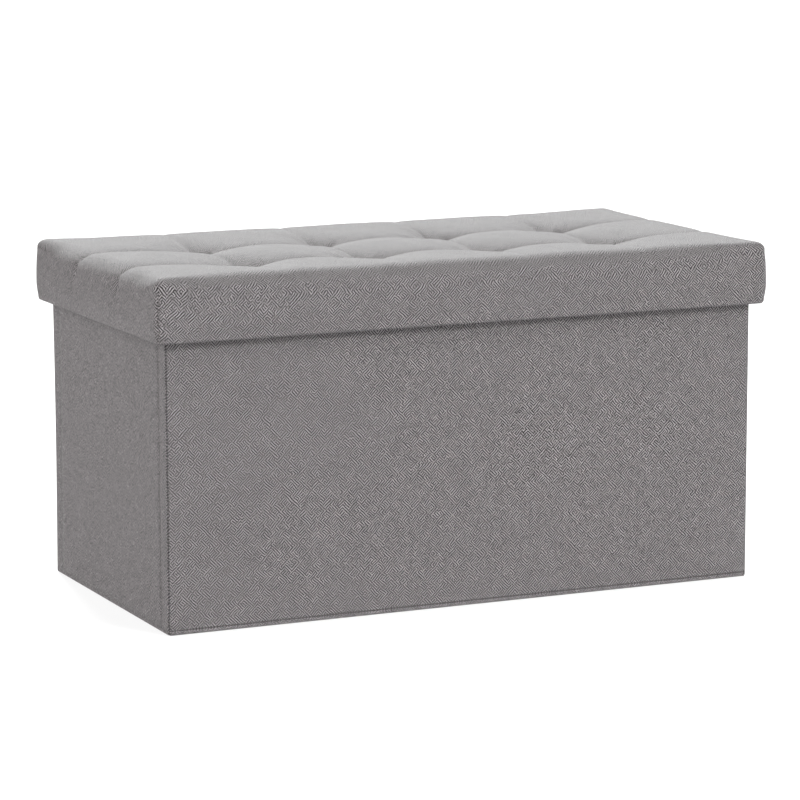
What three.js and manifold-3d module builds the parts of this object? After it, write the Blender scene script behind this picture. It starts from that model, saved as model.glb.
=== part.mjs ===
// Folding storage bench: a fabric-covered board box that collapses flat, with a lift-off tufted lid.
// Millimetres, +Z up, +X along the length, -Y to the front. The origin is the centre of the base.
import * as THREE from 'three';
import { mergeVertices } from 'three/addons/utils/BufferGeometryUtils.js';
import Module from 'manifold-3d';

const wasm = await Module();
wasm.setup();

// ---- Driving dimensions -------------------------------------------------------------------
const LENGTH = 760; // over the lid
const DEPTH = 400; // over the lid
const HEIGHT = 400; // floor to the crown of the lid
const GAP = 0.3; // between pieces that touch on the real bench

// Walls: an outer fabric, a board and a lining
const LID_OVERHANG = 13; // lid skirt past the walls, on every side
const OUTER_FABRIC = 0.8;
const WALL_BOARD = 3;
const WALL_LINING = 0.6;
const WALL = OUTER_FABRIC + GAP + WALL_BOARD + GAP + WALL_LINING;
const WALL_TOP = 367.5;
const BOARD_INSET = 1.5; // the boards stop short of a fabric hinge, so that the fabric can bend
const CORNER_ROUND = 3;

// Base flap: a covered board hinged along the foot of the front wall
const BASE_COVER = 0.45;
const BASE_BOARD = 2.5;
const BASE = BASE_COVER + GAP + BASE_BOARD + GAP + BASE_COVER;
const BASE_DEPTH = 360;
const BASE_SIDE_PLAY = 1;
const RIBBON = { width: 24, length: 46, play: 0.5 };

// Lid: a board on four rails, foam and a tufted cover
const LID_SIDE = 72;
const LID_CORNER = 9; // plan radius of the cover's corners
const LID_EDGE = 8; // rounding of the cover's upper edge
const COVER_SIDE = 2.7; // cover with its thin wadding, over the rails
const COVER_TOP = 2.7;
const RAIL = 6.5;
const LID_BOARD = 5;
const LID_LINING = 0.4;
const LINING_DROP = 38; // how far the lining runs down the rails
const TUFTS = { columns: 4, rows: 2, radius: 17, depth: 8, thread: 1, hole: 1.5 };

// ---- Sizes that follow --------------------------------------------------------------------
const BOX_X = LENGTH / 2 - LID_OVERHANG; // outer faces of the end walls
const BOX_Y = DEPTH / 2 - LID_OVERHANG; // outer faces of the front and rear walls
const INNER_X = BOX_X - WALL;
const INNER_Y = BOX_Y - WALL;
const WALL_FOOT = BASE + GAP; // the end and rear walls clear the base flap
const FRONT_FOOT = WALL; // the front wall stands on its square bottom binding
const FOLDED_BASE = 2 * GAP + BASE + 0.4; // room between front wall and ends for the raised flap

// Hinge lines of the folding ends, in plan. Both end hinges lie on the walls' inner faces and the
// crease lies on their outer face, so that the halves fold face to face between front and rear.
const FRONT_HINGE_Y = -INNER_Y + FOLDED_BASE;
const REAR_HINGE_Y = INNER_Y;
const CREASE_Y = (FRONT_HINGE_Y + REAR_HINGE_Y) / 2;
const OPEN_PIVOT_PLAY = 0.6;

const RAIL_X = LENGTH / 2 - COVER_SIDE - GAP; // outer faces of the lid's side rails
const RAIL_Y = DEPTH / 2 - COVER_SIDE - GAP;
const LID_FOOT = HEIGHT - LID_SIDE;
const LID_BOARD_Z = WALL_TOP + 1;
const FOAM_Z = LID_BOARD_Z + LID_BOARD + GAP;

// ---- Materials ----------------------------------------------------------------------------
const FINISHES = {
  linen: { color: 0x979595, roughness: 0.95, metalness: 0 },
  lining: { color: 0x5b5b5d, roughness: 0.9, metalness: 0 },
  board: { color: 0xa88c66, roughness: 0.75, metalness: 0 },
  foam: { color: 0xe9e3cf, roughness: 1, metalness: 0 },
  thread: { color: 0x848282, roughness: 0.8, metalness: 0 },
  ribbon: { color: 0x3c3c3e, roughness: 0.7, metalness: 0 },
};

function piece(name, geometry, finish) {
  const mesh = new THREE.Mesh(geometry, new THREE.MeshStandardMaterial(FINISHES[finish]));
  mesh.name = name;
  return mesh;
}

// A box given by its lowest and highest corners.
function slab(name, finish, low, high) {
  const size = high.map((value, axis) => value - low[axis]);
  const mesh = piece(name, new THREE.BoxGeometry(...size), finish);
  mesh.position.set(...low.map((value, axis) => value + size[axis] / 2));
  return mesh;
}

// ---- Solids for joining and cutting -------------------------------------------------------
function solid(geometry) {
  const bare = geometry.clone();
  bare.deleteAttribute('normal');
  bare.deleteAttribute('uv');
  const merged = mergeVertices(bare, 1e-4);
  return new wasm.Manifold(new wasm.Mesh({
    numProp: 3,
    vertProperties: merged.attributes.position.array,
    triVerts: new Uint32Array(merged.index.array),
  }));
}

function geometryOf(made) {
  const mesh = made.getMesh();
  const geometry = new THREE.BufferGeometry();
  geometry.setAttribute('position', new THREE.BufferAttribute(mesh.vertProperties, 3));
  geometry.setIndex(new THREE.BufferAttribute(mesh.triVerts, 1));
  geometry.computeVertexNormals();
  return geometry;
}

function block(low, high) {
  const size = high.map((value, axis) => value - low[axis]);
  const middle = low.map((value, axis) => value + size[axis] / 2);
  return solid(new THREE.BoxGeometry(...size).translate(...middle));
}

// A vertical rod or cone from one height to another.
function rod(x, y, low, high, lowRadius, highRadius, sides) {
  const form = new THREE.CylinderGeometry(highRadius, lowRadius, high - low, sides);
  return solid(form.rotateX(Math.PI / 2).translate(x, y, (low + high) / 2));
}

// ---- Walls --------------------------------------------------------------------------------
// A laminated wall seen from outside: X runs to the right, Y goes in from the outer face.
function wall(name, run, foot) {
  const layers = new THREE.Group();
  const boardY = OUTER_FABRIC + GAP;
  const liningY = boardY + WALL_BOARD + GAP;
  layers.add(
    slab(`${name}_fabric`, 'linen', [0, 0, foot], [run, OUTER_FABRIC, WALL_TOP]),
    slab(`${name}_board`, 'board', [BOARD_INSET, boardY, foot],
      [run - BOARD_INSET, boardY + WALL_BOARD, WALL_TOP]),
    slab(`${name}_lining`, 'lining', [0, liningY, foot], [run, liningY + WALL_LINING, WALL_TOP]),
  );
  return layers;
}

// The sewn strip at a vertical corner of the box: a square section with its outer edge rounded.
function cornerBinding(name, xSide, ySide, reach, foot) {
  const outline = new THREE.Shape();
  outline.moveTo(0, CORNER_ROUND);
  outline.lineTo(0, reach);
  outline.lineTo(WALL, reach);
  outline.lineTo(WALL, 0);
  outline.lineTo(CORNER_ROUND, 0);
  outline.absarc(CORNER_ROUND, CORNER_ROUND, CORNER_ROUND, -Math.PI / 2, -Math.PI, true);
  const form = new THREE.ExtrudeGeometry(outline, {
    depth: WALL_TOP - foot,
    bevelEnabled: false,
    curveSegments: 6,
  });
  form.scale(-xSide, -ySide, 1);
  form.translate(xSide * BOX_X, ySide * BOX_Y, foot);
  return piece(name, xSide * ySide < 0 ? turnedOut(form) : form, 'linen');
}

// Faces that a mirroring left pointing inwards are turned out again.
function turnedOut(form) {
  const flat = form.index ? form.toNonIndexed() : form;
  const points = flat.attributes.position;
  const second = new THREE.Vector3();
  const third = new THREE.Vector3();
  for (let i = 0; i < points.count; i += 3) {
    second.fromBufferAttribute(points, i + 1);
    third.fromBufferAttribute(points, i + 2);
    points.setXYZ(i + 1, ...third);
    points.setXYZ(i + 2, ...second);
  }
  flat.computeVertexNormals();
  return flat;
}

function frontWall() {
  const group = new THREE.Group();
  const run = 2 * (INNER_X - GAP);
  const layers = wall('front', run, FRONT_FOOT + GAP);
  layers.position.set(-run / 2, -BOX_Y, 0);
  const reach = BOX_Y + FRONT_HINGE_Y - GAP;
  group.add(
    layers,
    slab('front_bottom_binding', 'linen', [-BOX_X, -BOX_Y, 0], [BOX_X, -INNER_Y, FRONT_FOOT]),
    cornerBinding('front_left_corner_binding', -1, -1, reach, FRONT_FOOT + GAP),
    cornerBinding('front_right_corner_binding', 1, -1, reach, FRONT_FOOT + GAP),
  );
  return group;
}

function rearWall() {
  const group = new THREE.Group();
  const run = 2 * (INNER_X - GAP);
  const layers = wall('rear', run, WALL_FOOT);
  layers.position.set(run / 2, BOX_Y, 0);
  layers.rotation.z = Math.PI;
  group.add(
    layers,
    cornerBinding('rear_left_corner_binding', -1, 1, WALL, WALL_FOOT),
    cornerBinding('rear_right_corner_binding', 1, 1, WALL, WALL_FOOT),
  );
  return group;
}

// One end is two half walls, joined by the crease. side is -1 for the left end, 1 for the right.
function endWall(side) {
  const end = side < 0 ? 'left' : 'right';
  const rearEdge = REAR_HINGE_Y - (side < 0 ? GAP : OPEN_PIVOT_PLAY);
  const halves = [
    { name: `${end}_front_end`, low: FRONT_HINGE_Y, high: CREASE_Y - GAP / 2 },
    { name: `${end}_rear_end`, low: CREASE_Y + GAP / 2, high: rearEdge },
  ];
  return halves.map(({ name, low, high }) => {
    const half = wall(name, high - low, WALL_FOOT);
    half.position.set(side * BOX_X, side < 0 ? high : low, 0);
    half.rotation.z = side * Math.PI / 2;
    return half;
  });
}

// ---- Base flap ----------------------------------------------------------------------------
function baseFlap() {
  const halfX = INNER_X - BASE_SIDE_PLAY;
  const front = -INNER_Y + GAP;
  const rear = front + BASE_DEPTH;
  const boardZ = BASE_COVER + GAP;
  const coverZ = boardZ + BASE_BOARD + GAP;
  const ribbonFront = rear - RIBBON.length;
  const notch = block(
    [-RIBBON.width / 2 - RIBBON.play, ribbonFront - RIBBON.play, coverZ - 1],
    [RIBBON.width / 2 + RIBBON.play, rear + 1, BASE + 1],
  );
  const cover = block([-halfX, front, coverZ], [halfX, rear, BASE]).subtract(notch);
  const flap = new THREE.Group();
  flap.add(
    slab('base_underside_cover', 'linen', [-halfX, front, 0], [halfX, rear, BASE_COVER]),
    slab('base_board', 'board', [-halfX + BOARD_INSET, front + BOARD_INSET, boardZ],
      [halfX - BOARD_INSET, rear - BOARD_INSET, boardZ + BASE_BOARD]),
    piece('base_top_cover', geometryOf(cover), 'lining'),
    slab('base_pull_ribbon', 'ribbon', [-RIBBON.width / 2, ribbonFront, coverZ],
      [RIBBON.width / 2, rear, BASE]),
  );
  return flap;
}

// ---- Lid ----------------------------------------------------------------------------------
function tuftPoints() {
  const points = [];
  for (let row = 1; row <= TUFTS.rows; row += 1) {
    for (let column = 1; column <= TUFTS.columns; column += 1) {
      points.push({
        x: LENGTH * (column / (TUFTS.columns + 1) - 0.5),
        y: DEPTH * (row / (TUFTS.rows + 1) - 0.5),
      });
    }
  }
  return points;
}

// The pad's rounded form, shrunk by inset on the sides and by drop on top, dimpled at each tuft.
function tuftedForm(inset, drop) {
  const halfX = LENGTH / 2 - inset;
  const halfY = DEPTH / 2 - inset;
  const top = HEIGHT - drop;
  const corner = Math.max(LID_CORNER - inset, LID_EDGE / 2);
  const edge = Math.min(LID_EDGE, corner) - 0.5;
  const x = halfX - edge;
  const y = halfY - edge;
  const round = corner - edge;
  const outline = new THREE.Shape();
  outline.moveTo(-x + round, -y);
  outline.absarc(x - round, -y + round, round, -Math.PI / 2, 0, false);
  outline.absarc(x - round, y - round, round, 0, Math.PI / 2, false);
  outline.absarc(-x + round, y - round, round, Math.PI / 2, Math.PI, false);
  outline.absarc(-x + round, -y + round, round, Math.PI, 1.5 * Math.PI, false);
  const form = new THREE.ExtrudeGeometry(outline, {
    depth: LID_SIDE,
    bevelEnabled: true,
    bevelSize: edge,
    bevelThickness: edge,
    bevelSegments: 4,
    curveSegments: 5,
  });
  form.translate(0, 0, top - edge - LID_SIDE);
  let made = solid(form).subtract(
    block([-LENGTH, -DEPTH, top - 2 * LID_SIDE], [LENGTH, DEPTH, LID_FOOT]),
  );
  for (const { x: tuftX, y: tuftY } of tuftPoints()) {
    const slope = TUFTS.radius / TUFTS.depth;
    const dimple = rod(tuftX, tuftY, top - TUFTS.depth, top + 2,
      0.6, TUFTS.radius + 2 * slope, 16);
    made = made.subtract(dimple);
  }
  return made;
}

function lid() {
  const group = new THREE.Group();
  const boardTop = LID_BOARD_Z + LID_BOARD;
  const railTop = LID_BOARD_Z - GAP;
  const railFoot = LID_FOOT + 2 * GAP;
  const innerX = RAIL_X - RAIL;
  const innerY = RAIL_Y - RAIL;

  const hollow = tuftedForm(COVER_SIDE, COVER_TOP)
    .add(block([-RAIL_X - GAP, -RAIL_Y - GAP, LID_FOOT - 1], [RAIL_X + GAP, RAIL_Y + GAP, FOAM_Z]));
  const cover = tuftedForm(0, 0).subtract(hollow);

  let foam = tuftedForm(COVER_SIDE + GAP, COVER_TOP + GAP)
    .subtract(block([-LENGTH, -DEPTH, 0], [LENGTH, DEPTH, FOAM_Z]));
  let board = block([-RAIL_X, -RAIL_Y, LID_BOARD_Z], [RAIL_X, RAIL_Y, boardTop]);
  const threadTop = HEIGHT - COVER_TOP - TUFTS.depth - GAP;
  tuftPoints().forEach(({ x, y }, index) => {
    const hole = rod(x, y, LID_BOARD_Z - 1, HEIGHT, TUFTS.hole, TUFTS.hole, 12);
    foam = foam.subtract(hole);
    board = board.subtract(hole);
    const thread = rod(x, y, LID_BOARD_Z + GAP, threadTop, TUFTS.thread, TUFTS.thread, 8);
    group.add(piece(`lid_tuft_thread_${index + 1}`, geometryOf(thread), 'thread'));
  });

  const outX = innerX - GAP;
  const outY = innerY - GAP;
  const lining = block([-outX, -outY, railTop - LINING_DROP], [outX, outY, railTop])
    .subtract(block(
      [-outX + LID_LINING, -outY + LID_LINING, railTop - LINING_DROP - 1],
      [outX - LID_LINING, outY - LID_LINING, railTop - LID_LINING],
    ));

  group.add(
    piece('lid_cover', geometryOf(cover), 'linen'),
    piece('lid_foam', geometryOf(foam), 'foam'),
    piece('lid_board', geometryOf(board), 'board'),
    piece('lid_lining', geometryOf(lining), 'lining'),
    slab('lid_front_rail', 'board', [-RAIL_X, -RAIL_Y, railFoot], [RAIL_X, -innerY, railTop]),
    slab('lid_rear_rail', 'board', [-RAIL_X, innerY, railFoot], [RAIL_X, RAIL_Y, railTop]),
    slab('lid_left_rail', 'board', [-RAIL_X, -innerY + GAP, railFoot],
      [-innerX, innerY - GAP, railTop]),
    slab('lid_right_rail', 'board', [innerX, -innerY + GAP, railFoot],
      [RAIL_X, innerY - GAP, railTop]),
  );
  return group;
}

const bench = new THREE.Group();
bench.add(frontWall(), ...endWall(-1), ...endWall(1), rearWall(), baseFlap(), lid());

export default bench;
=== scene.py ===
"""Looks of the folding storage bench: fabric, seams, padding and linings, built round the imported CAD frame.

Every size is in metres. The box's walls are swept sheets, and the lid's cover is a tufted shell."""

import math

import bmesh
import bpy
import numpy as np
from mathutils import Euler, Matrix, Vector


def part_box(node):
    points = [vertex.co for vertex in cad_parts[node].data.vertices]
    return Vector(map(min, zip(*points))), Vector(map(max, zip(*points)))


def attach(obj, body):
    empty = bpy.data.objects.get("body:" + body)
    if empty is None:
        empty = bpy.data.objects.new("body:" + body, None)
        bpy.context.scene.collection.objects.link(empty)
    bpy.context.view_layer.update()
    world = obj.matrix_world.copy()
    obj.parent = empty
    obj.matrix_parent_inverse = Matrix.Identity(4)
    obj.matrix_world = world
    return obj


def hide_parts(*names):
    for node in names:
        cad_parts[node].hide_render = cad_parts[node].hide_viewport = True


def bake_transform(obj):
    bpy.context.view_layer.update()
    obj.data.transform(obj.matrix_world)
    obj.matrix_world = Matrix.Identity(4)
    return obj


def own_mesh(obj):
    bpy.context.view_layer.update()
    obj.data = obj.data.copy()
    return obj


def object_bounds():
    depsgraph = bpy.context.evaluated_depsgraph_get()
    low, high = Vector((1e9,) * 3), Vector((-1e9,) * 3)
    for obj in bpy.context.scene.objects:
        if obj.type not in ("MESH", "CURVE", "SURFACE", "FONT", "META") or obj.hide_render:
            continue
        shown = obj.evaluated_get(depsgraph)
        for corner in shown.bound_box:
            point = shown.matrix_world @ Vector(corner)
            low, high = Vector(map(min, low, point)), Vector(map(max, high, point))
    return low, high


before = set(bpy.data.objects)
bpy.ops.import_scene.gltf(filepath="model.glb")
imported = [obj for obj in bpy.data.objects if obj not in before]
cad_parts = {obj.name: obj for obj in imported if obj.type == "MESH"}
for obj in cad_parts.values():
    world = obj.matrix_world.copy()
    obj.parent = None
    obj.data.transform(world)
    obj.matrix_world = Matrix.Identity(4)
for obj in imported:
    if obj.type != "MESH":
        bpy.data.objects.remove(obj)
cad_low, cad_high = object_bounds()

MM = 0.001
WELD = 0.004 * MM  # points nearer than this are one

# Places and sizes read from the frame.
LID_LOW, LID_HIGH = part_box("lid_cover")
LID_X, LID_Y, LID_TOP, LID_FOOT = LID_HIGH.x, LID_HIGH.y, LID_HIGH.z, LID_LOW.z
RAIL_INNER_X, RAIL_INNER_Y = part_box("lid_right_rail")[0].x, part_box("lid_rear_rail")[0].y
RAIL_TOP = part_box("lid_front_rail")[1].z
FOAM_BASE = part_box("lid_foam")[0].z + 0.1 * MM
LID_LINING_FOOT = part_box("lid_lining")[0].z
WALL_X, WALL_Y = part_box("front_bottom_binding")[1].x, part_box("rear_fabric")[1].y
INNER_X, INNER_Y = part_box("right_front_end_lining")[0].x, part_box("rear_lining")[0].y
WALL_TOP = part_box("front_fabric")[1].z
BAND_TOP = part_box("front_bottom_binding")[1].z
END_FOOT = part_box("left_front_end_fabric")[0].z
END_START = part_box("left_front_end_fabric")[0].y
CREASE_Y = (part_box("left_front_end_fabric")[1].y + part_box("left_rear_end_fabric")[0].y) / 2
BASE_LOW, BASE_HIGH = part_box("base_underside_cover")
BASE_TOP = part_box("base_top_cover")[1].z
RIBBON_LOW, RIBBON_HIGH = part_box("base_pull_ribbon")
THREADS = sorted(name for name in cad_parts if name.startswith("lid_tuft_thread"))
TUFT_POINTS = [sum(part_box(name), Vector()) / 2 for name in THREADS]
SEAM_X = sorted({round(p.x, 5) for p in TUFT_POINTS})
SEAM_Y = sorted({round(p.y, 5) for p in TUFT_POINTS})
WALL = WALL_X - INNER_X


# ---------------- mesh helpers


def ripple(a, b, wavelength, seed, waves=7):
    """A smooth uneven field between about -1 and 1, the same on every run."""
    draw = np.random.default_rng(seed)
    total = np.zeros(np.broadcast(a, b).shape)
    for _ in range(waves):
        turn, phase, pitch = draw.uniform(0, math.tau), draw.uniform(0, math.tau), draw.uniform(0.7, 1.6)
        k = math.tau / (wavelength * pitch)
        total += np.sin(k * (a * math.cos(turn) + b * math.sin(turn)) + phase)
    return total / math.sqrt(waves) / 1.2


def bell(t):
    """1 at 0, and fading to nothing on both sides."""
    return np.exp(-(t ** 2))


def points(*coordinates):
    """Points from their coordinates: arrays or single numbers."""
    return np.stack(np.broadcast_arrays(*coordinates), axis=-1)


def beside(axis, across, along, *height):
    """Points from a place across an edge and one along it. The edge runs along x when axis is 1."""
    return points(*((along, across) if axis else (across, along)), *height)


def distances(line):
    """How far each point of a line, or of many lines at once, is from its start, along the line."""
    steps = np.linalg.norm(np.diff(line, axis=0), axis=1)
    return np.concatenate([0 * steps[:1], np.cumsum(steps, axis=0)])


def ease(t):
    """0 below 0, 1 above 1, smooth between."""
    t = np.clip(t, 0, 1)
    return t * t * (3 - 2 * t)


def spaced(start, end, step, fine_at=(), fine_step=None, reach=10 * MM):
    """Numbers from start to end about step apart, and about fine_step apart near the places in fine_at."""
    dense = np.linspace(start, end, 4001)
    rate = np.full(dense.shape, 1 / step)
    for place in fine_at:
        extra = (1 / fine_step - 1 / step) * bell((dense - place) / reach)
        rate = np.maximum(rate, 1 / step + extra)
    total = np.concatenate([[0], np.cumsum((rate[1:] + rate[:-1]) / 2 * np.diff(dense))])
    count = max(2, round(total[-1])) + 1
    return np.interp(np.linspace(0, total[-1], count), total, dense)


def grid_faces(rows, columns, start=0, flipped=False):
    """The quads of a grid of points, as point numbers."""
    number = np.arange(rows * columns).reshape(rows, columns) + start
    corners = [number[:-1, :-1], number[1:, :-1], number[1:, 1:], number[:-1, 1:]]
    if flipped:
        corners = corners[:1] + corners[:0:-1]
    return np.stack(corners, axis=-1).reshape(-1, 4)


def linked(name, data):
    """An object with that mesh, light or camera, in the scene."""
    piece = bpy.data.objects.new(name, data)
    bpy.context.scene.collection.objects.link(piece)
    return piece


def form_piece(name, form):
    """An object with the mesh of a bmesh form, in the scene."""
    mesh = bpy.data.meshes.new(name)
    form.to_mesh(mesh)
    form.free()
    return linked(name, mesh)


def smooth_piece(name, points, faces, weave=None):
    """A smooth mesh object, welded where points meet. Without weave coordinates its faces turn outwards."""
    mesh = bpy.data.meshes.new(name)
    mesh.from_pydata(points.tolist(), [], faces.tolist())
    if weave is not None:
        layer = mesh.uv_layers.new(name="weave")
        layer.data.foreach_set("uv", weave[faces.reshape(-1)].astype(np.float32).ravel())
    form = bmesh.new()
    form.from_mesh(mesh)
    bmesh.ops.remove_doubles(form, verts=form.verts, dist=WELD)
    bmesh.ops.dissolve_degenerate(form, edges=form.edges, dist=WELD)
    if weave is None:
        bmesh.ops.recalc_face_normals(form, faces=form.faces)
    form.to_mesh(mesh)
    form.free()
    mesh.polygons.foreach_set("use_smooth", [True] * len(mesh.polygons))
    mesh.update()
    return linked(name, mesh)


def join_grids(name, grids, inside=(0.0, 0.0, 0.2), facing=1):
    """One piece from grids of (points (n, m, 3), weave coordinates (n, m, 2)), welded where they meet.
    Each grid faces away from the point inside, or towards it where facing is -1."""
    points, weave, faces, start = [], [], [], 0
    for place, cloth in grids:
        quads, flat = grid_faces(*place.shape[:2]), place.reshape(-1, 3)
        normal = np.cross(flat[quads[:, 2]] - flat[quads[:, 0]], flat[quads[:, 3]] - flat[quads[:, 1]])
        if (normal * (flat[quads].mean(1) - np.array(inside))).sum() * facing < 0:
            quads = quads[:, ::-1]
        points.append(flat)
        weave.append(cloth.reshape(-1, 2))
        faces.append(quads + start)
        start += len(flat)
    return smooth_piece(name, np.concatenate(points), np.concatenate(faces), np.concatenate(weave))


def tube(line, radius, sides=6):
    """A grid of points round a line: a thread or a wire, with closed ends."""
    line = np.asarray(line, float)
    ahead = np.gradient(line, axis=0)
    ahead /= np.linalg.norm(ahead, axis=1)[:, None]
    side = np.cross(ahead, (0.31, 0.17, 0.93))
    side /= np.linalg.norm(side, axis=1)[:, None]
    up = np.cross(ahead, side)
    turn = np.linspace(0, math.tau, sides + 1)
    ring = side[:, None] * np.cos(turn)[None, :, None] + up[:, None] * np.sin(turn)[None, :, None]
    ends = [np.repeat(line[at, None], sides + 1, 1) for at in (slice(0, 1), slice(-1, None))]
    return np.concatenate([ends[0], line[:, None] + radius * ring, ends[1]])


def threads(name, lines, radius, sides=6):
    """Many short threads or wires as one piece."""
    points, faces, start = [], [], 0
    for line in lines:
        place = tube(line, radius, sides)
        points.append(place.reshape(-1, 3))
        faces.append(grid_faces(*place.shape[:2], start, True))
        start += len(points[-1])
    return smooth_piece(name, np.concatenate(points), np.concatenate(faces))


def sew(name, lines, radius, body, sides=6):
    """Stitches as one piece of thread."""
    finish_piece(threads(name, lines, radius, sides), THREAD, body)


def thicken(piece, depth):
    """Gives a sheet real thickness, away from its outer face."""
    shell = piece.modifiers.new("thickness", "SOLIDIFY")
    shell.thickness, shell.offset, shell.use_even_offset = depth, -1, False


def finish_piece(piece, material, body=None, stands_for=()):
    """Gives a piece its material, the body it rides on and the CAD nodes it stands for."""
    piece.data.materials.append(material)
    if stands_for:
        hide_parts(*stands_for)
    if body:
        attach(piece, body)


# ---------------- materials


class Shader:
    """A material's node tree, with short calls for the nodes used here."""

    def __init__(self, name):
        self.material = bpy.data.materials.new(name)
        self.material.use_nodes = True
        self.tree = self.material.node_tree
        self.surface = self.tree.nodes["Principled BSDF"]

    def link(self, value, socket):
        if isinstance(value, bpy.types.NodeSocket):
            self.tree.links.new(value, socket)
        else:
            socket.default_value = value

    def node(self, kind, feeds, **settings):
        """A new node. feeds has its inputs by name or number: a socket of another node, or a value."""
        made = self.tree.nodes.new("ShaderNode" + kind)
        for key, value in settings.items():
            setattr(made, key, value)
        for socket, value in feeds.items():
            self.link(value, made.inputs[socket])
        return made

    def math(self, operation, a, b=0.0, c=0.0):
        return self.node("Math", {0: a, 1: b, 2: c}, operation=operation).outputs[0]

    def plus(self, a, b):
        return self.math("ADD", a, b)

    def minus(self, a, b):
        return self.math("SUBTRACT", a, b)

    def times(self, a, b):
        return self.math("MULTIPLY", a, b)

    def wave(self, place, pitch):
        """A sine with that wavelength."""
        return self.math("SINE", self.times(place, math.tau / pitch))

    def mix(self, factor, a, b):
        return self.node("Mix", {0: factor, 2: a, 3: b}, data_type="FLOAT").outputs[0]

    def vector(self, x, y, z=0.0):
        return self.node("CombineXYZ", {0: x, 1: y, 2: z}).outputs[0]

    def cloth(self):
        """The place along the weave, in metres."""
        return self.node("UVMap", {}, uv_map="weave").outputs[0]

    def place(self):
        return self.node("TexCoord", {}).outputs["Object"]

    def split(self, vector):
        return self.node("SeparateXYZ", {0: vector}).outputs

    def noises(self, vector, scale, detail=2.0, roughness=0.5):
        """Noise as a number and as a colour."""
        feeds = {"Vector": vector, "Scale": scale, "Detail": detail, "Roughness": roughness}
        return self.node("TexNoise", feeds, noise_dimensions="3D").outputs

    def noise(self, *settings):
        return self.noises(*settings)[0]

    def paint(self, tint, factor):
        """Base colour: tint times a number made by nodes."""
        grey = self.node("CombineColor", {0: factor, 1: factor, 2: factor}).outputs[0]
        feeds = {0: 1.0, 6: (*tint, 1.0), 7: grey}
        made = self.node("Mix", feeds, data_type="RGBA", blend_type="MULTIPLY")
        self.link(made.outputs[2], self.surface.inputs["Base Color"])

    def rough(self, factor, low, high):
        """Roughness, between low and high."""
        self.link(self.mix(factor, low, high), self.surface.inputs["Roughness"])

    def emboss(self, height, strength, distance):
        """Bump, with the height made by nodes."""
        made = self.node("Bump", {"Strength": strength, "Distance": distance, "Height": height})
        self.link(made.outputs[0], self.surface.inputs["Normal"])

    def gloss(self, **levels):
        """Values that are the same all over, on the shader's own sockets."""
        for socket, value in levels.items():
            self.surface.inputs[socket.replace("_", " ")].default_value = value


def woven(name, tint, pitch, contrast, heather, sheen, bump):
    """A heathered cloth: broken twill of warp and weft yarns, each lighter or darker along its length."""
    s = Shader(name)
    cloth = s.cloth()
    # yarns wander a little, and each is one pitch wide
    wander = s.noises(cloth, 0.09 / pitch)[1]
    feeds = {0: wander, 1: (3.0 * pitch, 3.0 * pitch, 0), 2: cloth}
    shift = s.node("VectorMath", feeds, operation="MULTIPLY_ADD")
    along = s.split(shift.outputs[0])
    a = s.math("DIVIDE", along[0], pitch)
    b = s.math("DIVIDE", along[1], pitch)
    yarn_a, yarn_b = s.math("FLOOR", a), s.math("FLOOR", b)
    # the twill's lines lean one way in some patches and the other way in the rest
    lean = s.math("GREATER_THAN", s.noise(cloth, 0.11 / pitch, 1.0), 0.5)
    rise = s.mix(lean, s.times(b, -1.0), b)
    wale = s.wave(s.plus(a, rise), 4)
    warp_up = s.math("GREATER_THAN", wale, 0.0)
    # every yarn has its own tone, which drifts along it
    warp_tone = s.noise(s.vector(s.times(yarn_a, 0.61), s.times(b, 0.3), 3.1), 1.0, 1.0)
    weft_tone = s.noise(s.vector(s.times(a, 0.3), s.times(yarn_b, 0.61), 8.7), 1.0, 1.0)
    tone = s.mix(warp_up, weft_tone, warp_tone)
    slub = s.noise(s.vector(s.times(a, 0.42), s.times(b, 0.42), 5.3), 1.0, 1.0)
    round_a = s.wave(s.math("FRACT", a), 2)
    round_b = s.wave(s.math("FRACT", b), 2)
    height = s.mix(warp_up, s.times(round_b, 0.86), round_a)
    cloudy = s.noise(cloth, 34.0, 3.0, 0.6)
    # the hatching is bold in some places and faint in others
    patchy = s.noise(s.vector(a, b, 1.7), 0.16, 1.0)
    strength = s.math("MAXIMUM", s.math("MULTIPLY_ADD", patchy, 2.6, -0.5), 0.3)
    hatch = s.times(s.times(wale, strength), 1.08 * contrast)
    fine = s.times(s.minus(tone, 0.5), 1.3 * contrast)
    knots = s.times(s.minus(slub, 0.5), 1.4 * contrast)
    gap = s.times(s.minus(height, 0.62), 0.6 * contrast)
    broad = s.times(s.minus(cloudy, 0.5), heather)
    shade = s.plus(s.plus(fine, knots), s.plus(gap, s.plus(hatch, broad)))
    s.paint(tint, s.math("MAXIMUM", s.plus(shade, 1.0), 0.12))
    s.rough(height, 0.98, 0.86)
    s.gloss(Specular_IOR_Level=0.2, Sheen_Weight=sheen, Sheen_Roughness=0.45)
    s.emboss(height, bump, 0.35 * pitch)
    return s.material


def nonwoven(name, tint):
    """Pressed felt-like lining with a fine dimpled print and stray fibres."""
    s = Shader(name)
    cloth = s.cloth()
    along = s.split(cloth)
    dots = s.math("MAXIMUM", s.times(s.wave(along[0], 2.2 * MM), s.wave(along[1], 2.2 * MM)), 0.0)
    fibres = s.noise(cloth, 700.0, 4.0, 0.7)
    cloudy = s.noise(cloth, 45.0, 3.0, 0.6)
    light = s.plus(s.times(fibres, 0.55), s.times(cloudy, 0.35))
    s.paint(tint, s.plus(s.minus(light, s.times(dots, 0.16)), 0.58))
    s.rough(dots, 0.93, 0.8)
    s.gloss(Specular_IOR_Level=0.25)
    s.emboss(s.minus(fibres, dots), 0.5, 0.25 * MM)
    return s.material


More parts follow.
